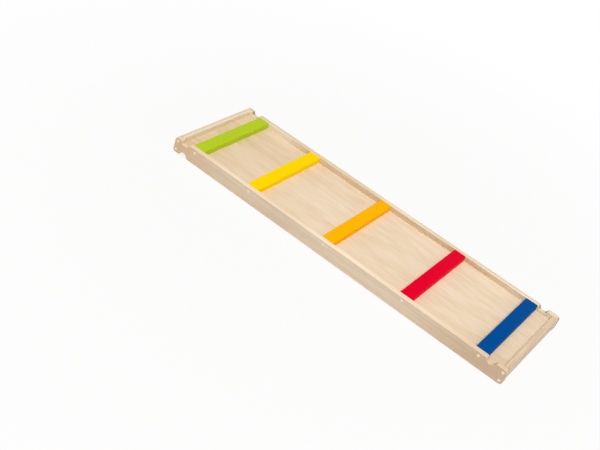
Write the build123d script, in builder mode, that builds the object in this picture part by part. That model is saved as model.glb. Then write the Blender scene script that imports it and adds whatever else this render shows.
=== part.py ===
"""Slatted ramp board of a toddler slide, which hooks over a round rung.

Two side rails with rung hooks, an end board at each end, a plywood deck let into grooves, and five painted
slats that lie on the deck, flush with the rails. Countersunk screws through the rails hold it together.

Millimetres. +X runs down the board to its lower end, +Y to the far rail and +Z up. The origin is in the middle
of the rectangle that the rails stand on.
"""

import os
from math import radians, tan

from build123d import *

# Side rails
rail_height = 56.0
rail_thickness = 18.0
rail_nose_radius = 12.0
rail_edge_radius = 2.5
lane_width = 366.0

# Lengths along the board: the whole, then the gaps from each end inwards
board_length = 1323.5
end_board_setback = 3.0
upper_rung_gap = 8.5
upper_slat_gap = 7.0
lower_rung_gap = 21.5
lower_slat_gap = 4.5

# Hooks in the rails, cut to sit over a round rung
rung_diameter = 30.0
rung_clearance = 0.5
hook_depth = 14.5
hook_lip_radius = 8.0

# End boards
end_board_thickness = 18.0
end_board_edge_radius = 5.0

# Slats, from the upper end down: evenly spaced, apart from two that sit higher up the board and one lower
slat_names = ("green", "yellow", "orange", "red", "blue")
yellow_slat_lift = 47.5
orange_slat_lift = 19.5
red_slat_drop = 3.0
slat_width = 44.0
slat_thickness = 21.0
slat_edge_radius = 2.0
slat_end_clearance = 0.2

# Deck panel and the grooves around its edges
deck_thickness = 9.0
groove_depth = 6.0
groove_clearance = 0.15

# Countersunk screws with a hexagon socket
screw_length = 60.0
screw_diameter = 5.0
screw_head_diameter = 10.0
screw_head_angle = 90.0
screw_head_recess = 0.3
screw_tip_length = 6.0
screw_tip_diameter = 1.0
screw_hole_clearance = 0.1
socket_width = 4.0
socket_depth = 2.0
slat_screw_rise = 7.5
end_screw_spacing = 31.0

# Places along the board, from each end inwards
rung_radius = rung_diameter / 2
end_board_x = board_length / 2 - end_board_setback - end_board_thickness / 2
upper_rung_x = -end_board_x + end_board_thickness / 2 + upper_rung_gap + rung_radius
lower_rung_x = end_board_x - end_board_thickness / 2 - lower_rung_gap - rung_radius
first_slat_x = upper_rung_x + rung_radius + upper_slat_gap + slat_width / 2
last_slat_x = lower_rung_x - rung_radius - lower_slat_gap - slat_width / 2
slat_pitch = (last_slat_x - first_slat_x) / (len(slat_names) - 1)
slat_places = {name: first_slat_x + index * slat_pitch for index, name in enumerate(slat_names)}
slat_places["yellow"] -= yellow_slat_lift
slat_places["orange"] -= orange_slat_lift
slat_places["red"] += red_slat_drop

# Heights, and the sizes that meet one another
deck_top = rail_height - slat_thickness
deck_middle = deck_top - deck_thickness / 2
deck_length = 2 * end_board_x - end_board_thickness + 2 * groove_depth
deck_width = lane_width + 2 * groove_depth
groove_width = deck_thickness + 2 * groove_clearance
board_width = lane_width + 2 * rail_thickness
notch_radius = rung_radius + rung_clearance

# Screw axes on a rail's side: one at each slat, two at each end board
slat_screw_height = deck_top + slat_screw_rise
end_screw_heights = {
    "top": (rail_height + end_screw_spacing) / 2,
    "bottom": (rail_height - end_screw_spacing) / 2,
}
screw_places = {f"{name}_slat_screw": (x, slat_screw_height) for name, x in slat_places.items()}
for end, x in (("upper", -end_board_x), ("lower", end_board_x)):
    for level, height in end_screw_heights.items():
        screw_places[f"{end}_end_{level}_screw"] = (x, height)

screw_hole_radius = screw_diameter / 2 + screw_hole_clearance
screw_bite = screw_length + screw_head_recess - rail_thickness + screw_hole_clearance
countersink_radius = screw_head_diameter / 2 + screw_hole_clearance + screw_head_recess

# The near rail's two faces: local X is the board's X, local Y its height, and the normal points outwards
near_inner_face = Plane.XZ.offset(lane_width / 2)
near_outer_face = Plane.XZ.offset(board_width / 2)


def save(piece, name):
    """Labels a finished piece and writes it to its own file."""
    piece.label = name
    export_step(piece, f"parts/{name}.step")


def cut_hook(outline, x, edge_height, inward):
    """Cuts a rung hook into one long edge of the rail's outline and rounds its lips.

    inward is -1 for a hook in the top edge and 1 for one in the bottom edge.
    """
    seat_height = edge_height + inward * (hook_depth - notch_radius)
    with Locations((x, seat_height - inward * rail_height / 2)):
        SlotCenterToCenter(rail_height, 2 * notch_radius, rotation=90, mode=Mode.SUBTRACT)
    reach = notch_radius + hook_lip_radius / 2
    corners = outline.vertices().filter_by_position(Axis.X, x - reach, x + reach)
    lips = corners.group_by(Axis.Y)[-1 if inward < 0 else 0]
    fillet(lips, hook_lip_radius)


def drill_ends(places):
    """Drills the screw holes into both ends of a crosspiece that spans the lane."""
    for side in (-1, 1):
        with Locations(*[(x, side * (lane_width - screw_bite) / 2, z) for x, z in places]):
            Cylinder(screw_hole_radius, screw_bite, rotation=(90, 0, 0), mode=Mode.SUBTRACT)


os.makedirs("parts", exist_ok=True)

# Near rail: hooks in its top edge at both ends and in its bottom edge at the upper end
with BuildPart() as near_rail:
    with BuildSketch(near_inner_face) as rail_outline:
        with Locations((0, rail_height / 2)):
            RectangleRounded(board_length, rail_height, rail_nose_radius)
        cut_hook(rail_outline, upper_rung_x, rail_height, -1)
        cut_hook(rail_outline, upper_rung_x, 0, 1)
        cut_hook(rail_outline, lower_rung_x, rail_height, -1)
    extrude(amount=rail_thickness)
    fillet(near_rail.faces().filter_by(Axis.Y).edges(), rail_edge_radius)
    with BuildSketch(near_inner_face):
        with Locations((0, deck_middle)):
            Rectangle(deck_length + 2 * groove_clearance, groove_width)
    extrude(amount=groove_depth + groove_clearance, mode=Mode.SUBTRACT)
    with Locations(near_outer_face):
        with Locations(*screw_places.values()):
            CounterSinkHole(screw_hole_radius, countersink_radius, rail_thickness, screw_head_angle)
save(near_rail.part, "near_rail")

# Far rail: the near one's mirror image
with BuildPart() as far_rail:
    mirror(near_rail.part, about=Plane.XZ)
save(far_rail.part, "far_rail")

# Deck panel, held in the grooves on all four sides
with BuildPart() as deck_panel:
    with Locations((0, 0, deck_middle)):
        Box(deck_length, deck_width, deck_thickness)
save(deck_panel.part, "deck_panel")

# Upper end board, with the groove for the deck's end
with BuildPart() as upper_end_board:
    with Locations((-end_board_x, 0, rail_height / 2)):
        Box(end_board_thickness, lane_width, rail_height)
    fillet(upper_end_board.edges().filter_by(Axis.Y), end_board_edge_radius)
    with Locations((-end_board_x + end_board_thickness / 2, 0, deck_middle)):
        Box(2 * (groove_depth + groove_clearance), lane_width, groove_width, mode=Mode.SUBTRACT)
    drill_ends([(-end_board_x, height) for height in end_screw_heights.values()])
save(upper_end_board.part, "upper_end_board")

# Lower end board: the upper one's mirror image
with BuildPart() as lower_end_board:
    mirror(upper_end_board.part, about=Plane.YZ)
save(lower_end_board.part, "lower_end_board")

# Slats, lying on the deck between the rails
for name, x in slat_places.items():
    with BuildPart() as slat:
        with Locations((x, 0, deck_top)):
            Box(
                slat_width,
                lane_width - 2 * slat_end_clearance,
                slat_thickness,
                align=(Align.CENTER, Align.CENTER, Align.MIN),
            )
        fillet(slat.edges().filter_by(Axis.Y).group_by(Axis.Z)[-1], slat_edge_radius)
        drill_ends([(x, slat_screw_height)])
    save(slat.part, f"{name}_slat")

# One screw, standing head up with the top of its head at the origin
with BuildPart() as screw_blank:
    head_height = (screw_head_diameter - screw_diameter) / 2 / tan(radians(screw_head_angle / 2))
    with BuildSketch(Plane.XZ):
        with BuildLine():
            Polyline(
                (0, 0),
                (screw_head_diameter / 2, 0),
                (screw_diameter / 2, -head_height),
                (screw_diameter / 2, screw_tip_length - screw_length),
                (screw_tip_diameter / 2, -screw_length),
                (0, -screw_length),
                close=True,
            )
        make_face()
    revolve(axis=Axis.Z)
    with BuildSketch():
        RegularPolygon(socket_width / 2, 6, major_radius=False)
    extrude(amount=-socket_depth, mode=Mode.SUBTRACT)

# Screws in the near rail, and their mirror images in the far rail
for name, place in screw_places.items():
    with BuildPart() as near_screw:
        with Locations(near_outer_face.offset(-screw_head_recess)):
            with Locations(place):
                add(screw_blank.part)
    save(near_screw.part, f"near_{name}")
    with BuildPart() as far_screw:
        mirror(near_screw.part, about=Plane.XZ)
    save(far_screw.part, f"far_{name}")
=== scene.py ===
"""Dresses the ramp board of a toddler slide: lacquered birch, painted slats and zinc screws.

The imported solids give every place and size. Metres: +X runs down the board, +Y to the far rail and +Z up.
"""

import logging
from dataclasses import dataclass
from enum import Enum, IntEnum
from functools import reduce
from math import cos, floor, pi, radians, sin, tau

import bmesh
import bpy
from mathutils import Matrix, Vector


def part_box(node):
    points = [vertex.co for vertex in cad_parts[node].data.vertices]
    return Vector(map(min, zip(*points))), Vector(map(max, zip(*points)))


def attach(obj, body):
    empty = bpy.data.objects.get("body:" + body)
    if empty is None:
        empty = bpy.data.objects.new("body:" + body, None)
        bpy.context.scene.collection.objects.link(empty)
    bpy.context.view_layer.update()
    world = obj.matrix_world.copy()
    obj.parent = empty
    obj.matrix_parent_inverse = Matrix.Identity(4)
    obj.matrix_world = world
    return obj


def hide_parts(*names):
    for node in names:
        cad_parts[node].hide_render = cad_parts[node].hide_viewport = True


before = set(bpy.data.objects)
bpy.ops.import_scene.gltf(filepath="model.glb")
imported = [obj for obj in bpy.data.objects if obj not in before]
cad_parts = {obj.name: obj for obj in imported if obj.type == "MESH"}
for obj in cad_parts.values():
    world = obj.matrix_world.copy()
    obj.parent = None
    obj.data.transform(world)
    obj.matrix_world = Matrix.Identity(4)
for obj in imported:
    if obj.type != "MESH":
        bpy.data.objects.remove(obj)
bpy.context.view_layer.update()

LOG = logging.getLogger("ramp_board")
BODY = "root"

Colour = tuple[float, float, float]
Point = tuple[float, float, float]
Pair = tuple[float, float]
Socket = bpy.types.NodeSocket
Value = Socket | float | Point
Box = tuple[Vector, Vector]

# A screen's curve from a colour's number to its light: a straight foot, and a power above it
SCREEN_WHITE = 255
FOOT_END = 0.04045
FOOT_SLOPE = 12.92
CURVE_SHIFT = 0.055
CURVE_POWER = 2.4

# The turn between two faces from which the edge between them stays hard
HARD_EDGE = radians(35)


def shade(red: int, green: int, blue: int) -> Colour:
    """Turns a screen colour into the linear colour that a shader takes.

    Args:
        red, green, blue: The screen colour, each from 0 to 255.

    Returns:
        The linear red, green and blue, each from 0 to 1.
    """
    screen = [part / SCREEN_WHITE for part in (red, green, blue)]
    return tuple(
        part / FOOT_SLOPE if part <= FOOT_END else ((part + CURVE_SHIFT) / (1 + CURVE_SHIFT)) ** CURVE_POWER
        for part in screen
    )


class Grain(Enum):
    """Which axes of the board lie along the grain, across it and through it."""

    ALONG_BOARD = (0, 1, 2)
    ACROSS_BOARD = (1, 0, 2)

    @property
    def along(self) -> int:
        """The axis along the grain."""
        return self.value[0]

    @property
    def across(self) -> int:
        """The axis across the grain."""
        return self.value[1]

    @property
    def through(self) -> int:
        """The axis through the piece."""
        return self.value[2]


class MixSocket(IntEnum):
    """The numbers of the sockets by which a mix node takes and gives colours."""

    SHARE = 0
    FIRST = 6
    SECOND = 7
    RESULT = 2


@dataclass(frozen=True)
class Pattern:
    """A cloudy pattern, which may be stretched along the grain.

    along and across are its repeats per metre, layers is how many finer layers it has, and shift is added to
    the seed of the piece. amount is how far it makes a tone or a radius sway.
    """

    along: float
    across: float
    layers: float
    shift: float = 0.0
    amount: float = 0.0

    def scale(self, grain: Grain) -> Point:
        """Gives the repeats per metre on X, Y and Z."""
        return tuple(self.along if axis == grain.along else self.across for axis in range(3))


class Surface:
    """The shader nodes of one material, made and linked by short calls.

    Its place is the point on the surface, in metres in the piece's own frame.
    """

    def __init__(self, name: str, grain: Grain = Grain.ALONG_BOARD, seed: float = 0.0) -> None:
        """Starts a material with a bare shader.

        Args:
            name: The material's name.
            grain: Which way the grain runs.
            seed: A shift that sets one piece's patterns apart from another's.
        """
        self.grain = grain
        self.seed = seed
        self.material = bpy.data.materials.new(name)
        self.material.use_nodes = True
        self.nodes = self.material.node_tree.nodes
        self.links = self.material.node_tree.links
        self.nodes.clear()
        self.shader = self.nodes.new("ShaderNodeBsdfPrincipled")
        self.place = self.nodes.new("ShaderNodeTexCoord").outputs["Object"]
        self.output = self.nodes.new("ShaderNodeOutputMaterial")
        self.links.new(self.shader.outputs["BSDF"], self.output.inputs["Surface"])

    def feed(self, socket: Socket, value: Value) -> None:
        """Links an output into a socket, or sets the socket to a plain value.

        Args:
            socket: The socket.
            value: The output or the plain value.
        """
        if isinstance(value, bpy.types.NodeSocket):
            self.links.new(value, socket)
        else:
            socket.default_value = (*value, 1.0) if socket.type == "RGBA" else value

    def finish(self, colour: Value, roughness: Value, **plain: float) -> None:
        """Feeds the shader.

        Args:
            colour: The surface's colour.
            roughness: The surface's roughness.
            plain: Other inputs of the shader that are the same all over, with _ for a space.
        """
        self.feed(self.shader.inputs["Base Color"], colour)
        self.feed(self.shader.inputs["Roughness"], roughness)
        for name, value in plain.items():
            self.shader.inputs[name.replace("_", " ")].default_value = value

    def facing(self, axis: int) -> Socket:
        """Gives how squarely the surface faces along an axis, from 0 to 1."""
        normal = self.nodes.new("ShaderNodeNewGeometry").outputs["Normal"]
        return self.math("ABSOLUTE", self.parts(normal)[axis])

    def parts(self, vector: Socket) -> list[Socket]:
        """Splits a vector.

        Args:
            vector: The vector.

        Returns:
            Its X, Y and Z.
        """
        node = self.nodes.new("ShaderNodeSeparateXYZ")
        self.links.new(vector, node.inputs[0])
        return list(node.outputs)

    def work_out(self, kind: str, operation: str, values: tuple[Value, ...]) -> bpy.types.Node:
        """Adds a node that works out one sum.

        Args:
            kind: The kind of node, for numbers or for vectors.
            operation: The name that Blender gives the sum.
            values: Its one, two or three terms.

        Returns:
            The node.
        """
        node = self.nodes.new(kind)
        node.operation = operation
        for socket, value in zip(node.inputs, values):
            self.feed(socket, value)
        return node

    def math(self, operation: str, *values: Value) -> Socket:
        """Works out one sum on numbers, by the name that Blender gives it."""
        return self.work_out("ShaderNodeMath", operation, values).outputs[0]

    def vector(self, operation: str, *values: Value) -> Socket:
        """Works out one sum on vectors, by the name that Blender gives it."""
        node = self.work_out("ShaderNodeVectorMath", operation, values)
        return node.outputs["Value" if operation == "LENGTH" else "Vector"]

    def total(self, *values: Value) -> Socket:
        """Adds up two or more numbers."""
        return reduce(lambda first, second: self.math("ADD", first, second), values)

    def distance(self, first: Socket, second: Socket) -> Socket:
        """Gives how far a point is from an axis, by its two distances at right angles."""
        squares = [self.math("MULTIPLY", part, part) for part in (first, second)]
        return self.math("SQRT", self.total(*squares))

    def step(self, value: Socket, low: float, high: float) -> Socket:
        """Rises smoothly from 0 to 1.

        Args:
            value: What it goes by.
            low: Where it is still 0.
            high: Where it has come to 1.

        Returns:
            The share.
        """
        node = self.nodes.new("ShaderNodeMapRange")
        node.interpolation_type = "SMOOTHSTEP"
        for socket, number in zip(node.inputs, (value, low, high)):
            self.feed(socket, number)
        return node.outputs[0]

    def ridge(self, phase: Socket, rise: Pair, fall: Pair) -> Socket:
        """Rises smoothly from 0 to 1 over one stretch of a phase, and falls back over another."""
        return self.math("SUBTRACT", self.step(phase, *rise), self.step(phase, *fall))

    def noise(self, pattern: Pattern) -> Socket:
        """Draws a cloudy pattern.

        Args:
            pattern: Its scale and its layers.

        Returns:
            The pattern, from 0 to 1.
        """
        shift = self.seed + pattern.shift
        mapping = self.nodes.new("ShaderNodeMapping")
        self.links.new(self.place, mapping.inputs["Vector"])
        mapping.inputs["Scale"].default_value = pattern.scale(self.grain)
        mapping.inputs["Location"].default_value = (shift, shift, shift)
        node = self.nodes.new("ShaderNodeTexNoise")
        self.links.new(mapping.outputs["Vector"], node.inputs["Vector"])
        node.inputs["Scale"].default_value = 1.0
        node.inputs["Detail"].default_value = pattern.layers
        return node.outputs["Fac"]

    def sway(self, value: Socket, amount: float) -> Socket:
        """Turns a pattern from 0 to 1 into one that sways by the amount about nought."""
        centred = self.math("SUBTRACT", value, 0.5)
        return self.math("MULTIPLY", centred, amount)

    def swaying(self, pattern: Pattern) -> Socket:
        """Draws a cloudy pattern that sways by its own amount about nought."""
        return self.sway(self.noise(pattern), pattern.amount)

    def blend(self, share: Value, first: Value, second: Value) -> Socket:
        """Goes from one colour to another.

        Args:
            share: How far to go, from 0 to 1.
            first: The colour at 0.
            second: The colour at 1.

        Returns:
            The colour.
        """
        node = self.nodes.new("ShaderNodeMix")
        node.data_type = "RGBA"
        self.feed(node.inputs[MixSocket.SHARE], share)
        self.feed(node.inputs[MixSocket.FIRST], first)
        self.feed(node.inputs[MixSocket.SECOND], second)
        return node.outputs[MixSocket.RESULT]

    def edges(self, box: Box, width: float) -> Socket:
        """Gives 1 on the edges of a piece's box and 0 away from them.

        Args:
            box: The piece's lowest and highest corners.
            width: How far the band along an edge reaches.

        Returns:
            The share of edge.
        """
        low, high = box
        from_middle = self.vector("ABSOLUTE", self.vector("SUBTRACT", self.place, tuple((low + high) / 2)))
        depths = self.parts(self.vector("SUBTRACT", from_middle, tuple((high - low) / 2)))
        nearest_pair = self.math("MINIMUM", depths[0], depths[1])
        other_pair = self.math("MINIMUM", self.math("MAXIMUM", depths[0], depths[1]), depths[2])
        return self.step(self.math("MAXIMUM", nearest_pair, other_pair), -width, 0.0)

    def toward_ends(self, box: Box, amounts: Pair, start: float = 0.0) -> Socket:
        """Gives 0 at the middle of a piece's length on X, and goes smoothly to an amount at each end.

        Args:
            box: The piece's lowest and highest corners.
            amounts: What it comes to at the low end and at the high end.
            start: How far from the middle it starts to change, as a share of the way to the end.

        Returns:
            The pattern.
        """
        x = self.parts(self.place)[0]
        low, high = box[0].x, box[1].x
        middle = (low + high) / 2
        reach = start * (high - low) / 2
        first = self.math("MULTIPLY", self.step(x, middle - reach, low), amounts[0])
        return self.math("MULTIPLY_ADD", self.step(x, middle + reach, high), amounts[1], first)

    def bump(self, height: Socket, relief: float, shown: float) -> None:
        """Raises the surface by a pattern.

        Args:
            height: The pattern, from 0 to 1.
            relief: The height of a full step, in metres.
            shown: How much of it shows.
        """
        node = self.nodes.new("ShaderNodeBump")
        node.inputs["Distance"].default_value = relief
        node.inputs["Strength"].default_value = shown
        self.links.new(height, node.inputs["Height"])
        self.links.new(node.outputs["Normal"], self.shader.inputs["Normal"])


@dataclass(frozen=True)
class Lacquer:
    """Clear satin lacquer that follows the wood below it.

    relief is the height of a full step in metres, and shown how much of it shows. As shares of that,
    figure_height and fibre_height are how far the wood's figure and fibre stand up, and pore_depth how far
    its pores sink.
    """

    roughness: float
    fibre_roughness: float
    relief: float
    shown: float
    figure_height: float
    fibre_height: float = 0.6
    pore_depth: float = 0.4
    coat: float = 0.12
    coat_roughness: float = 0.28
    specular: float = 0.4

    def cover(
        self,
        surface: Surface,
        colour: Socket,
        figure: Socket,
        fibre: Socket,
        pores: Socket,
        polish: Value = 0.0,
    ) -> None:
        """Covers the wood.

        Args:
            surface: The wood's material.
            colour: The wood's colour.
            figure: Its growth rings or its flames, from 0 to 1.
            fibre: Its fibre, from 0 to 1.
            pores: Its pores, from 0 to 1.
            polish: How much less rough it is where it is worn.
        """
        roughness = surface.math("ADD", surface.sway(fibre, self.fibre_roughness), self.roughness)
        roughness = surface.math("SUBTRACT", roughness, polish)
        raised = surface.math("MULTIPLY", fibre, self.fibre_height)
        raised = surface.math("MULTIPLY_ADD", figure, self.figure_height, raised)
        sunk = surface.math("MULTIPLY", pores, self.pore_depth)
        surface.bump(surface.math("SUBTRACT", raised, sunk), self.relief, self.shown)
        surface.finish(
            colour,
            roughness,
            Coat_Weight=self.coat,
            Coat_Roughness=self.coat_roughness,
            Specular_IOR_Level=self.specular,
        )


@dataclass(frozen=True)
class Birch:
    """Lacquered solid birch, with growth rings that run right through the piece.

    heart is the middle of the tree, across and through the grain from the middle of the piece. depth is the
    tone of the whole piece, and ends how much deeper it gets toward the low and high end on X, which on the
    near rail and the end boards is painted shade, and painted light where it is below nought. sides and
    side_ends are painted shade on the wide faces alone, all over and toward those ends, and painted light
    where they are below nought. golden_ends is how far the wood turns golden toward them. A name that ends
    in from is the share of the way from the middle to an end where such a change starts.
    """

    name: str
    grain: Grain
    seed: float
    heart: Pair
    early_wood: Colour = shade(252, 231, 203)
    late_wood: Colour = shade(230, 200, 165)
    end_grain: Colour = shade(214, 192, 164)
    pore: Colour = shade(176, 140, 104)
    golden: Colour = shade(225, 180, 125)
    depth: float = 0.22
    ends: Pair = (0.0, 0.0)
    ends_from: float = 0.0
    sides: float = 0.0
    side_ends: Pair = (0.0, 0.0)
    side_ends_from: float = 0.45
    golden_ends: Pair = (0.0, 0.0)
    golden_from: float = 0.6
    fibre: Pattern = Pattern(9.0, 640.0, 4.0, amount=1.0)
    streak: Pattern = Pattern(3.0, 150.0, 3.0, shift=7.0, amount=1.1)
    cloud: Pattern = Pattern(2.2, 17.0, 2.0, amount=1.1)
    flecks: Pattern = Pattern(70.0, 1500.0, 1.0)
    speckle: Pattern = Pattern(1900.0, 1900.0, 1.0)
    wear: Pattern = Pattern(60.0, 60.0, 3.0)
    wander: Pattern = Pattern(1.4, 11.0, 1.0, shift=3.0, amount=0.010)
    ring_width: float = 0.0028
    ring_rise: Pair = (0.25, 0.88)
    ring_fall: Pair = (0.92, 1.0)
    ring_tone: float = 0.34
    pore_range: Pair = (0.64, 0.74)
    pore_tone: float = 0.28
    edge_width: float = 0.0045
    edge_tone: float = -0.25
    edge_polish: float = 0.10
    end_range: Pair = (0.45, 0.92)
    end_ring_tone: float = 0.3
    end_speckle_tone: float = 0.45
    lacquer: Lacquer = Lacquer(0.47, 0.22, relief=0.00022, shown=0.55, figure_height=0.25)

    def material(self, box: Box) -> bpy.types.Material:
        """Makes the material for one piece.

        Args:
            box: The piece's lowest and highest corners.

        Returns:
            The material.
        """
        surface = Surface(self.name, self.grain, self.seed)
        rings = self.rings(surface, box)
        fibre = surface.noise(self.fibre)
        pores = surface.step(surface.noise(self.flecks), *self.pore_range)
        edge = surface.math("MULTIPLY", surface.edges(box, self.edge_width), surface.noise(self.wear))

        # Painted shade on the wide faces, and painted light where sides and side_ends are below nought
        side_ends = surface.toward_ends(box, self.side_ends, self.side_ends_from)
        painted_side_shade = surface.math("ADD", side_ends, self.sides)
        tone = surface.total(
            surface.math("MULTIPLY_ADD", rings, self.ring_tone, self.depth),
            surface.sway(fibre, self.fibre.amount),
            surface.swaying(self.streak),
            surface.swaying(self.cloud),
            surface.toward_ends(box, self.ends, self.ends_from),
            surface.math("MULTIPLY", surface.facing(self.grain.across), painted_side_shade),
            surface.math("MULTIPLY", edge, self.edge_tone),
        )
        side = surface.blend(tone, self.early_wood, self.late_wood)
        golden_ends = surface.toward_ends(box, self.golden_ends, self.golden_from)
        side = surface.blend(golden_ends, side, self.golden)
        side = surface.blend(surface.math("MULTIPLY", pores, self.pore_tone), side, self.pore)

        speckle = surface.math("MULTIPLY", surface.noise(self.speckle), self.end_speckle_tone)
        end_tone = surface.math("MULTIPLY_ADD", rings, self.end_ring_tone, speckle)
        end = surface.blend(end_tone, self.end_grain, self.pore)
        colour = surface.blend(surface.step(surface.facing(self.grain.along), *self.end_range), side, end)

        polish = surface.math("MULTIPLY", edge, self.edge_polish)
        self.lacquer.cover(surface, colour, rings, fibre, pores, polish)
        return surface.material

    def rings(self, surface: Surface, box: Box) -> Socket:
        """Draws the growth rings: 0 in the pale early wood, rising to 1 in the late wood.

        Args:
            surface: The material that they belong to.
            box: The piece's lowest and highest corners.

        Returns:
            The rings.
        """
        middle = (box[0] + box[1]) / 2
        parts = surface.parts(surface.place)
        from_heart = [
            surface.math("SUBTRACT", parts[axis], middle[axis] + reach)
            for axis, reach in zip((self.grain.across, self.grain.through), self.heart)
        ]
        radius = surface.math("ADD", surface.distance(*from_heart), surface.swaying(self.wander))
        phase = surface.math("FRACT", surface.math("DIVIDE", radius, self.ring_width))
        return surface.ridge(phase, self.ring_rise, self.ring_fall)


@dataclass(frozen=True)
class BirchPly:
    """Lacquered birch plywood: peeled veneer on its faces and plies along its edges.

    depth is the tone of the whole panel, and ends how much deeper it gets toward the low and high end on X:
    painted shade toward the upper end. near_side is how much deeper it gets from the far rail across to the
    near one: painted light along the far rail. flames is how many flames the figure makes from its lowest
    to its highest, and drift how many more there are in a metre across.
    """

    name: str
    seed: float
    pale: Colour = shade(243, 223, 198)
    deep: Colour = shade(219, 189, 147)
    glue_line: Colour = shade(150, 112, 78)
    pore: Colour = shade(186, 152, 116)
    depth: float = 0.21
    ends: Pair = (0.26, -0.02)
    near_side: float = 0.25
    figure: Pattern = Pattern(1.3, 7.0, 3.0)
    fibre: Pattern = Pattern(16.0, 520.0, 4.0, amount=0.8)
    streak: Pattern = Pattern(14.0, 110.0, 4.0, shift=5.0, amount=0.8)
    cloud: Pattern = Pattern(3.0, 9.0, 3.0, shift=9.0, amount=0.8)
    flecks: Pattern = Pattern(85.0, 1300.0, 1.0)
    flames: float = 7.0
    drift: float = 7.0
    flame_rise: Pair = (0.1, 0.8)
    flame_fall: Pair = (0.84, 1.0)
    flame_tone: float = 0.18
    pore_range: Pair = (0.65, 0.75)
    pore_tone: float = 0.2
    face_range: Pair = (0.3, 0.7)
    plies: int = 7
    glue_range: Pair = (0.42, 0.48)
    glue_tone: float = 0.7
    lacquer: Lacquer = Lacquer(0.45, 0.2, relief=0.0002, shown=0.5, figure_height=0.2)

    def material(self, box: Box) -> bpy.types.Material:
        """Makes the material for the panel.

        Args:
            box: The panel's lowest and highest corners.

        Returns:
            The material.
        """
        surface = Surface(self.name, Grain.ALONG_BOARD, self.seed)
        y = surface.parts(surface.place)[1]
        drift = surface.math("MULTIPLY", y, self.drift)
        figure = surface.math("MULTIPLY_ADD", surface.noise(self.figure), self.flames, drift)
        flame = surface.ridge(surface.math("FRACT", figure), self.flame_rise, self.flame_fall)
        fibre = surface.noise(self.fibre)
        pores = surface.step(surface.noise(self.flecks), *self.pore_range)

        from_far = surface.math("ADD", surface.math("DIVIDE", y, box[0].y - box[1].y), 0.5)
        tone = surface.total(
            surface.math("MULTIPLY_ADD", flame, self.flame_tone, self.depth),
            surface.sway(fibre, self.fibre.amount),
            surface.swaying(self.streak),
            surface.swaying(self.cloud),
            # Painted shade toward the upper end, and painted light along the far rail
            surface.toward_ends(box, self.ends),
            surface.math("MULTIPLY", from_far, self.near_side),
        )
        face = surface.blend(tone, self.pale, self.deep)
        face = surface.blend(surface.math("MULTIPLY", pores, self.pore_tone), face, self.pore)
        on_face = surface.step(surface.facing(Grain.ALONG_BOARD.through), *self.face_range)
        colour = surface.blend(on_face, self.ply_edge(surface, box), face)
        self.lacquer.cover(surface, colour, flame, fibre, pores)
        return surface.material

    def ply_edge(self, surface: Surface, box: Box) -> Socket:
        """Draws the plies on the panel's edges, light and dark by turns with a glue line between.

        Args:
            surface: The material that they belong to.
            box: The panel's lowest and highest corners.

        Returns:
            The colour of the edges.
        """
        low, high = box
        up = surface.math("SUBTRACT", surface.parts(surface.place)[2], low.z)
        count = surface.math("DIVIDE", up, (high.z - low.z) / self.plies)
        turn = surface.math("MODULO", surface.math("FLOOR", count), 2.0)
        off_middle = surface.math("ABSOLUTE", surface.math("SUBTRACT", surface.math("FRACT", count), 0.5))
        line = surface.step(off_middle, *self.glue_range)
        ply = surface.blend(turn, self.pale, self.deep)
        return surface.blend(surface.math("MULTIPLY", line, self.glue_tone), ply, self.glue_line)


@dataclass(frozen=True)
class Paint:
    """Satin paint on a wooden slat, with the grain showing faintly through and thinner paint on the edges.

    thin_share is how far the paint is thin all over, and edge_share how much further on a worn edge. relief
    is the height of a full step in metres, and shown how much of it shows.
    """

    name: str
    colour: Colour
    thin: Colour
    seed: float
    fibre: Pattern = Pattern(10.0, 420.0, 4.0, amount=0.6)
    cloud: Pattern = Pattern(6.0, 22.0, 2.0, amount=0.6)
    peel: Pattern = Pattern(900.0, 900.0, 2.0)
    wear: Pattern = Pattern(130.0, 130.0, 4.0)
    wear_range: Pair = (0.35, 0.75)
    edge_width: float = 0.003
    edge_share: float = 0.5
    thin_share: float = 0.2
    roughness: float = 0.42
    roughness_sway: float = 0.12
    relief: float = 0.00012
    shown: float = 0.5
    peel_height: float = 0.35
    fibre_height: float = 0.65
    specular: float = 0.012

    def material(self, box: Box) -> bpy.types.Material:
        """Makes the material for one slat.

        Args:
            box: The slat's lowest and highest corners.

        Returns:
            The material.
        """
        surface = Surface(self.name, Grain.ACROSS_BOARD, self.seed)
        fibre = surface.noise(self.fibre)
        cloud = surface.noise(self.cloud)
        peel = surface.noise(self.peel)
        worn = surface.step(surface.noise(self.wear), *self.wear_range)
        edge = surface.math("MULTIPLY", surface.edges(box, self.edge_width), worn)

        share = surface.total(
            surface.sway(fibre, self.fibre.amount),
            surface.sway(cloud, self.cloud.amount),
            surface.math("MULTIPLY_ADD", edge, self.edge_share, self.thin_share),
        )
        roughness = surface.total(
            surface.sway(peel, self.roughness_sway),
            self.roughness,
            surface.sway(cloud, self.roughness_sway),
        )
        raised = surface.math("MULTIPLY", fibre, self.fibre_height)
        surface.bump(surface.math("MULTIPLY_ADD", peel, self.peel_height, raised), self.relief, self.shown)
        colour = surface.blend(share, self.colour, self.thin)
        surface.finish(colour, roughness, Specular_IOR_Level=self.specular)
        return surface.material


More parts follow.
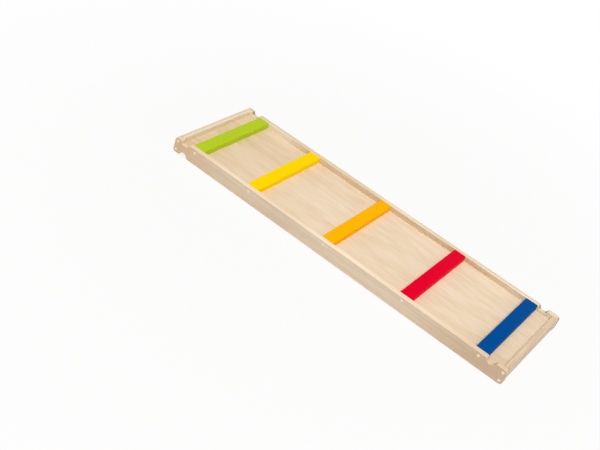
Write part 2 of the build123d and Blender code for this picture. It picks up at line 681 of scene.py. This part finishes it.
@dataclass(frozen=True)
class Zinc:
    """Bright zinc on a turned steel screw, with fine rings on the head and duller patches.

    turning_pitch is the width of a ring. relief is the height of a full step in metres, and shown how much of
    it shows.
    """

    name: str
    bright: Colour = shade(255, 246, 226)
    dull: Colour = shade(248, 232, 205)
    seed: float = 2.0
    cloud: Pattern = Pattern(500.0, 500.0, 3.0)
    scuff: Pattern = Pattern(2600.0, 2600.0, 2.0)
    dull_range: Pair = (0.35, 0.75)
    turning_pitch: float = 0.00022
    turning_height: float = 0.5
    roughness: float = 0.38
    scuff_roughness: float = 0.2
    relief: float = 0.00001
    shown: float = 0.6
    metallic: float = 0.55

    def material(self) -> bpy.types.Material:
        """Makes the material that all the screws share.

        Returns:
            The material.
        """
        surface = Surface(self.name, seed=self.seed)
        x, _, z = surface.parts(surface.place)
        turns = surface.math("MULTIPLY", surface.distance(x, z), tau / self.turning_pitch)
        scuff = surface.noise(self.scuff)
        height = surface.math("MULTIPLY_ADD", surface.math("SINE", turns), self.turning_height, scuff)
        surface.bump(height, self.relief, self.shown)
        patches = surface.step(surface.noise(self.cloud), *self.dull_range)
        colour = surface.blend(patches, self.bright, self.dull)
        roughness = surface.math("ADD", surface.sway(scuff, self.scuff_roughness), self.roughness)
        surface.finish(colour, roughness, Metallic=self.metallic)
        return surface.material


def report(piece: bpy.types.Object) -> None:
    """Logs a finished piece, with its material and how many faces it has."""
    LOG.info("%s: %s, %d faces", piece.name, piece.active_material.name, len(piece.data.polygons))


def dress(piece: bpy.types.Object, material: bpy.types.Material) -> None:
    """Gives a piece one material in place of what it has.

    Args:
        piece: The piece.
        material: The material.
    """
    piece.data.materials.clear()
    piece.data.materials.append(material)
    report(piece)


def dress_node(node: str, finish: Birch | BirchPly) -> None:
    """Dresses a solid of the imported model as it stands, in its own finish."""
    dress(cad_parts[node], finish.material(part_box(node)))


def add_piece(name: str, mesh: bpy.types.Mesh, node: str) -> bpy.types.Object:
    """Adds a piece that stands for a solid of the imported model.

    Args:
        name: The piece's name.
        mesh: Its mesh.
        node: The solid that it stands for.

    Returns:
        The piece, in place at the origin.
    """
    piece = bpy.data.objects.new(name, mesh)
    bpy.context.scene.collection.objects.link(piece)
    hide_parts(node)
    return piece


def smooth_mesh(name: str, shape: bmesh.types.BMesh) -> bpy.types.Mesh:
    """Turns a shape into a mesh that is shaded smooth, with its hard edges kept.

    Args:
        name: The mesh's name.
        shape: The shape, which is freed.

    Returns:
        The mesh.
    """
    mesh = bpy.data.meshes.new(name)
    shape.to_mesh(mesh)
    shape.free()
    mesh.shade_smooth()
    mesh.set_sharp_from_angle(angle=HARD_EDGE)
    return mesh


@dataclass(frozen=True)
class SideRails:
    """The two side rails with their rung hooks."""

    near: Birch = Birch(
        name="near_rail_birch",
        grain=Grain.ALONG_BOARD,
        seed=11.0,
        heart=(-0.11, -0.16),
        late_wood=shade(222, 193, 161),
        depth=0.16,
        # ends is painted shade toward the lower end, sides painted shade on the wide faces, and side_ends a
        # little painted light on them toward the upper end
        ends=(0.0, 0.9),
        ends_from=0.45,
        sides=0.08,
        side_ends=(-0.1, 0.0),
        golden_ends=(0.5, 0.06),
    )
    far: Birch = Birch(
        name="far_rail_birch",
        grain=Grain.ALONG_BOARD,
        seed=23.0,
        heart=(0.17, -0.07),
        early_wood=shade(255, 243, 221),
        late_wood=shade(213, 183, 144),
        # The end grain is darker than the near rail's: partly real end grain, partly painted shade under the
        # lower end
        end_grain=shade(158, 128, 94),
        pore=shade(134, 104, 74),
        depth=0.53,
        ends=(0.15, 0.2),
        # side_ends is painted light on the far rail's wide faces, most of all toward the upper end
        side_ends=(-1.8, -0.5),
    )

    def dress(self) -> None:
        """Lacquers both rails."""
        dress_node("near_rail", self.near)
        dress_node("far_rail", self.far)


@dataclass(frozen=True)
class Deck:
    """The plywood panel between the rails."""

    ply: BirchPly = BirchPly("deck_birch_ply", 31.0)

    def dress(self) -> None:
        """Lacquers the panel."""
        dress_node("deck_panel", self.ply)


@dataclass(frozen=True)
class EndBoards:
    """The boards across the upper and the lower end."""

    upper: Birch = Birch(
        name="upper_end_birch",
        grain=Grain.ACROSS_BOARD,
        seed=41.0,
        heart=(0.09, -0.13),
        early_wood=shade(240, 221, 196),
        late_wood=shade(214, 189, 154),
        depth=0.32,
        # ends and sides are painted light on the inner side by the deck, and ends a little painted shade on
        # the outer side
        ends=(0.2, -0.2),
        sides=-0.65,
    )
    lower: Birch = Birch(
        name="lower_end_birch",
        grain=Grain.ACROSS_BOARD,
        seed=53.0,
        heart=(-0.12, -0.15),
        early_wood=shade(244, 220, 188),
        late_wood=shade(197, 171, 138),
        depth=0.57,
        # ends is painted shade toward the outer face, and side_ends painted light on the inner rounded edge
        # by the deck
        ends=(0.0, 0.3),
        side_ends=(-1.6, 0.0),
    )

    def dress(self) -> None:
        """Lacquers both boards."""
        dress_node("upper_end_board", self.upper)
        dress_node("lower_end_board", self.lower)


@dataclass(frozen=True)
class Slats:
    """The painted slats, as bars with all their edges eased.

    sharp_from is the angle in degrees from which an edge still counts as sharp once the top ones are rounded.
    arc_profile makes a rounded edge a true arc.
    """

    paints: tuple[Paint, ...] = (
        Paint("green_paint", shade(179, 203, 36), shade(191, 213, 50), 61.0),
        Paint("yellow_paint", shade(252, 212, 0), shade(255, 221, 4), 67.0),
        Paint("orange_paint", shade(250, 177, 0), shade(255, 189, 4), 71.0),
        Paint("red_paint", shade(226, 0, 40), shade(237, 4, 50), 73.0),
        Paint("blue_paint", shade(0, 73, 144), shade(0, 84, 158), 79.0),
    )
    top_radius: float = 0.002
    corner_radius: float = 0.0008
    sharp_from: float = 60.0
    arc_steps: int = 5
    arc_profile: float = 0.5

    def build(self) -> None:
        """Builds and paints every slat."""
        for paint in self.paints:
            name = paint.name.removesuffix("_paint") + "_slat"
            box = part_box(name)
            piece = add_piece(f"painted_{name}", self.bar(name, box), name)
            dress(piece, paint.material(box))
            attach(piece, BODY)

    def bar(self, name: str, box: Box) -> bpy.types.Mesh:
        """Builds one bar that fills its box, with rounded top edges and eased corners.

        Args:
            name: The slat's name.
            box: The slat's lowest and highest corners.

        Returns:
            The mesh.
        """
        low, high = box
        middle = (low + high) / 2
        shape = bmesh.new()
        bmesh.ops.create_cube(shape, size=1.0)
        bmesh.ops.scale(shape, vec=high - low, verts=shape.verts)
        bmesh.ops.translate(shape, vec=middle, verts=shape.verts)
        top = [edge for edge in shape.edges if all(vert.co.z > middle.z for vert in edge.verts)]
        self.round(shape, top, self.top_radius)
        sharp = [edge for edge in shape.edges if edge.calc_face_angle(0.0) > radians(self.sharp_from)]
        self.round(shape, sharp, self.corner_radius)
        return smooth_mesh(f"painted_{name}", shape)

    def round(self, shape: bmesh.types.BMesh, edges: list[bmesh.types.BMEdge], radius: float) -> None:
        """Rounds some edges of a shape.

        Args:
            shape: The shape.
            edges: The edges.
            radius: The radius that they get.
        """
        bmesh.ops.bevel(
            shape,
            geom=edges,
            offset=radius,
            segments=self.arc_steps,
            profile=self.arc_profile,
            affect="EDGES",
        )


@dataclass(frozen=True)
class Screws:
    """The countersunk screws with a hexagon socket, all from one mesh.

    Each lies with the top of its head at its own origin and its shank along +Y. rim_turns and turn_between
    are in degrees. thread_flank is the width of one side of the thread's ridge, as a share of the pitch.
    """

    zinc: Zinc = Zinc("bright_zinc")
    slot: str = "screw_zinc"
    sides: int = 24
    rim: float = 0.00035
    rim_turns: tuple[float, ...] = (30.0, 60.0, 90.0)
    socket_width: float = 0.004
    socket_depth: float = 0.002
    socket_chamfer: float = 0.0003
    shank_radius: float = 0.0024
    core_radius: float = 0.0017
    smooth_length: float = 0.020
    tip_length: float = 0.007
    tip_radius: float = 0.0003
    thread_pitch: float = 0.0022
    thread_flank: float = 0.3
    rows_per_turn: int = 8
    turn_between: float = 37.0

    def build(self) -> None:
        """Builds the screw once and sets a copy at every place."""
        nodes = sorted(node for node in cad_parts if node.endswith("_screw"))
        low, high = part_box(nodes[0])
        mesh = self.screw((high.x - low.x) / 2, high.y - low.y)
        mesh.materials.append(self.zinc.material())
        for index, node in enumerate(nodes):
            low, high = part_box(node)
            near = high.y < 0
            head = Vector(((low.x + high.x) / 2, low.y if near else high.y, (low.z + high.z) / 2))
            about = Matrix.Rotation(0.0 if near else pi, 4, "Z")
            spin = Matrix.Rotation(radians(self.turn_between * index), 4, "Y")
            piece = add_piece(f"zinc_{node}", mesh, node)
            piece.matrix_world = Matrix.Translation(head) @ about @ spin
            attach(piece, BODY)
            report(piece)

    def screw(self, head_radius: float, length: float) -> bpy.types.Mesh:
        """Builds a screw as rings along its axis, from the socket's floor round the head to the tip.

        Args:
            head_radius: Half the head's width.
            length: The length from the top of the head to the tip.

        Returns:
            The mesh.
        """
        rings = self.socket_rings() + self.head_rings(head_radius) + self.shank_rings(length)
        shape = bmesh.new()
        loops = [[shape.verts.new(point) for point in ring] for ring in rings]
        for first, second in zip(loops, loops[1:]):
            for index in range(self.sides):
                following = (index + 1) % self.sides
                shape.faces.new((first[index], first[following], second[following], second[index]))
        shape.faces.new(reversed(loops[0]))
        shape.faces.new(loops[-1])
        bmesh.ops.recalc_face_normals(shape, faces=shape.faces)
        return smooth_mesh("zinc_screw", shape)

    def angles(self) -> list[float]:
        """Gives the angles about the axis at which a ring has its points."""
        return [tau * index / self.sides for index in range(self.sides)]

    def loop(self, radii: list[float], depth: float) -> list[Point]:
        """Gives a loop of points about the axis, by their radii and their depth below the top of the head."""
        spokes = zip(radii, self.angles())
        return [(radius * cos(angle), depth, radius * sin(angle)) for radius, angle in spokes]

    def ring(self, radius: float, depth: float) -> list[Point]:
        """Gives a circle of points about the axis, by its radius and its depth."""
        return self.loop([radius] * self.sides, depth)

    def hexagon(self, width: float, depth: float) -> list[Point]:
        """Gives a hexagon of points about the axis, by its width across flats and its depth."""
        off_flats = [(angle + pi / 6) % (pi / 3) - pi / 6 for angle in self.angles()]
        return self.loop([width / 2 / cos(angle) for angle in off_flats], depth)

    def socket_rings(self) -> list[list[Point]]:
        """Makes the hexagon socket.

        Returns:
            Its rings, from its floor up to the face of the head.
        """
        floor_width = self.socket_width - self.socket_chamfer
        mouth_width = self.socket_width + 2 * self.socket_chamfer
        return [
            self.hexagon(floor_width, self.socket_depth),
            self.hexagon(self.socket_width, self.socket_depth - self.socket_chamfer),
            self.hexagon(self.socket_width, self.socket_chamfer),
            self.hexagon(mouth_width, 0.0),
        ]

    def head_rings(self, head_radius: float) -> list[list[Point]]:
        """Makes the head.

        Args:
            head_radius: Half the head's width.

        Returns:
            The rings of its face, its soft rim and the cone below.
        """
        rings = [self.ring(head_radius - self.rim, 0.0)]
        for turn in self.rim_turns:
            angle = radians(turn)
            rings.append(self.ring(head_radius - self.rim * (1 - sin(angle)), self.rim * (1 - cos(angle))))
        rings.append(self.ring(self.shank_radius, self.rim + head_radius - self.shank_radius))
        return rings

    def shank_rings(self, length: float) -> list[list[Point]]:
        """Makes the shank, with a thread that runs out on the tip.

        Args:
            length: The length from the top of the head to the tip.

        Returns:
            The rings, down to the tip.
        """
        rings = [self.ring(self.shank_radius, self.smooth_length)]
        row_step = self.thread_pitch / self.rows_per_turn
        rows = floor((length - self.smooth_length) / row_step)
        for row in range(1, rows + 1):
            depth = self.smooth_length + row * row_step
            rings.append(self.thread_ring(depth, min(1.0, (length - depth) / self.tip_length)))
        rings.append(self.ring(self.tip_radius, length))
        return rings

    def thread_ring(self, depth: float, fullness: float) -> list[Point]:
        """Makes one ring of the thread.

        Args:
            depth: How far it lies below the top of the head.
            fullness: How full the thread is there, from 0 at the tip to 1 on the shank.

        Returns:
            The ring.
        """
        core = self.tip_radius + (self.core_radius - self.tip_radius) * fullness
        crest = (self.shank_radius - self.core_radius) * fullness
        radii = []
        for index in range(self.sides):
            turn = (depth / self.thread_pitch + index / self.sides) % 1.0
            radii.append(core + crest * max(0.0, 1.0 - abs(turn - 0.5) / self.thread_flank))
        return self.loop(radii, depth)


@dataclass(frozen=True)
class SoftBox:
    """A square lamp that points at the middle of the board."""

    name: str
    place: Point
    width: float
    power: float

    def build(self) -> None:
        """Hangs the lamp."""
        light = bpy.data.lights.new(self.name, "AREA")
        light.shape = "SQUARE"
        light.size = self.width
        light.energy = self.power
        lamp = bpy.data.objects.new(self.name, light)
        lamp.location = self.place
        lamp.rotation_mode = "QUATERNION"
        lamp.rotation_quaternion = (-Vector(self.place)).to_track_quat("-Z", "Y")
        bpy.context.scene.collection.objects.link(lamp)
        LOG.info("lamp %s", self.name)


@dataclass(frozen=True)
class Studio:
    """The pale floor, the white surroundings and the soft lamps.

    sky_strength is the share of the surroundings' white that lights the board. near_glow is the share of
    plain white in the floor close to the board, which rises to the whole from white_from to white_to.
    """

    lamps: tuple[SoftBox, ...] = (
        SoftBox("key_lamp", (3.2, -2.9, 10.6), 6.0, 905.0),
        SoftBox("fill_lamp", (9.0, -1.0, 3.0), 4.0, 97.0),
        SoftBox("upper_end_lamp", (-7.7, 0.5, 2.1), 3.0, 80.0),
    )
    white: Colour = (1.0, 1.0, 1.0)
    sky_strength: float = 0.36
    floor_reach: float = 30.0
    floor_drop: float = 0.0004
    floor_colour: Colour = shade(226, 224, 221)
    floor_roughness: float = 0.9
    floor_specular: float = 0.1
    near_glow: float = 0.86
    white_from: float = 0.5
    white_to: float = 2.2

    def build(self) -> None:
        """Lays the floor, lights the surroundings and hangs the lamps."""
        bpy.context.scene.view_settings.view_transform = "Standard"
        self.light_sky()
        self.lay_floor()
        for lamp in self.lamps:
            lamp.build()

    def light_sky(self) -> None:
        """Makes the surroundings white to look at, and lights the board with a share of that."""
        world = bpy.data.worlds.new("white_surroundings")
        bpy.context.scene.world = world
        world.use_nodes = True
        nodes = world.node_tree.nodes
        links = world.node_tree.links
        path = nodes.new("ShaderNodeLightPath")
        seen = nodes.new("ShaderNodeMath")
        seen.operation = "MAXIMUM"
        links.new(path.outputs["Is Camera Ray"], seen.inputs[0])
        links.new(path.outputs["Is Glossy Ray"], seen.inputs[1])
        strength = nodes.new("ShaderNodeMapRange")
        strength.inputs["To Min"].default_value = self.sky_strength
        strength.inputs["To Max"].default_value = 1.0
        links.new(seen.outputs[0], strength.inputs["Value"])
        sky = nodes["Background"]
        sky.inputs["Color"].default_value = (*self.white, 1.0)
        links.new(strength.outputs[0], sky.inputs["Strength"])

    def lay_floor(self) -> None:
        """Lays the floor under the rails: pale round the board and white further out."""
        shape = bmesh.new()
        bmesh.ops.create_grid(shape, size=self.floor_reach)
        bmesh.ops.translate(shape, vec=(0.0, 0.0, -self.floor_drop), verts=shape.verts)
        floor_mesh = bpy.data.meshes.new("floor")
        shape.to_mesh(floor_mesh)
        shape.free()
        piece = bpy.data.objects.new("floor", floor_mesh)
        bpy.context.scene.collection.objects.link(piece)
        floor_mesh.materials.append(self.floor_material())

    def floor_material(self) -> bpy.types.Material:
        """Makes the floor's paper: it takes the board's shadow, and far out it is plain white to look at.

        Returns:
            The material.
        """
        surface = Surface("floor_paper")
        surface.finish(self.floor_colour, self.floor_roughness, Specular_IOR_Level=self.floor_specular)
        plain = surface.nodes.new("ShaderNodeEmission")
        surface.feed(plain.inputs["Color"], self.white)
        path = surface.nodes.new("ShaderNodeLightPath")
        seen = surface.math("MAXIMUM", path.outputs["Is Camera Ray"], path.outputs["Is Glossy Ray"])
        far_out = surface.step(surface.vector("LENGTH", surface.place), self.white_from, self.white_to)
        glow = surface.math("MULTIPLY_ADD", far_out, 1.0 - self.near_glow, self.near_glow)
        mix = surface.nodes.new("ShaderNodeMixShader")
        surface.feed(mix.inputs[0], surface.math("MULTIPLY", glow, seen))
        surface.links.new(surface.shader.outputs["BSDF"], mix.inputs[1])
        surface.links.new(plain.outputs[0], mix.inputs[2])
        surface.links.new(mix.outputs[0], surface.output.inputs["Surface"])
        return surface.material


@dataclass(frozen=True)
class BoardCamera:
    """The camera, placed by its viewing angle on a point of the board.

    Angles are in degrees, and the lens and the sensor in millimetres.
    """

    target: Point = (-0.1384, -0.1670, 0.028)
    distance: float = 3.2661
    azimuth: float = 24.257
    elevation: float = 34.370
    roll: float = 21.179
    lens: float = 61.318
    sensor: float = 36.0

    def build(self) -> None:
        """Places the camera and makes it the scene's own."""
        turn = radians(self.azimuth)
        rise = radians(self.elevation)
        back = Vector((sin(turn) * cos(rise), -cos(turn) * cos(rise), sin(rise)))
        level = Vector((cos(turn), sin(turn), 0.0))
        right = Matrix.Rotation(radians(self.roll), 3, back) @ level
        up = back.cross(right)
        data = bpy.data.cameras.new("board_camera")
        data.lens = self.lens
        data.sensor_width = self.sensor
        camera = bpy.data.objects.new("board_camera", data)
        axes = Matrix((right, up, back)).transposed().to_4x4()
        camera.matrix_world = Matrix.Translation(Vector(self.target) + back * self.distance) @ axes
        bpy.context.scene.collection.objects.link(camera)
        bpy.context.scene.camera = camera


def main() -> None:
    """Builds and dresses the board, piece by piece, and sets up the studio."""
    logging.basicConfig(level=logging.INFO, format="%(name)s %(message)s")
    BoardCamera().build()
    Studio().build()
    SideRails().dress()
    Deck().dress()
    EndBoards().dress()
    Slats().build()
    Screws().build()


if __name__ == "__main__":
    main()
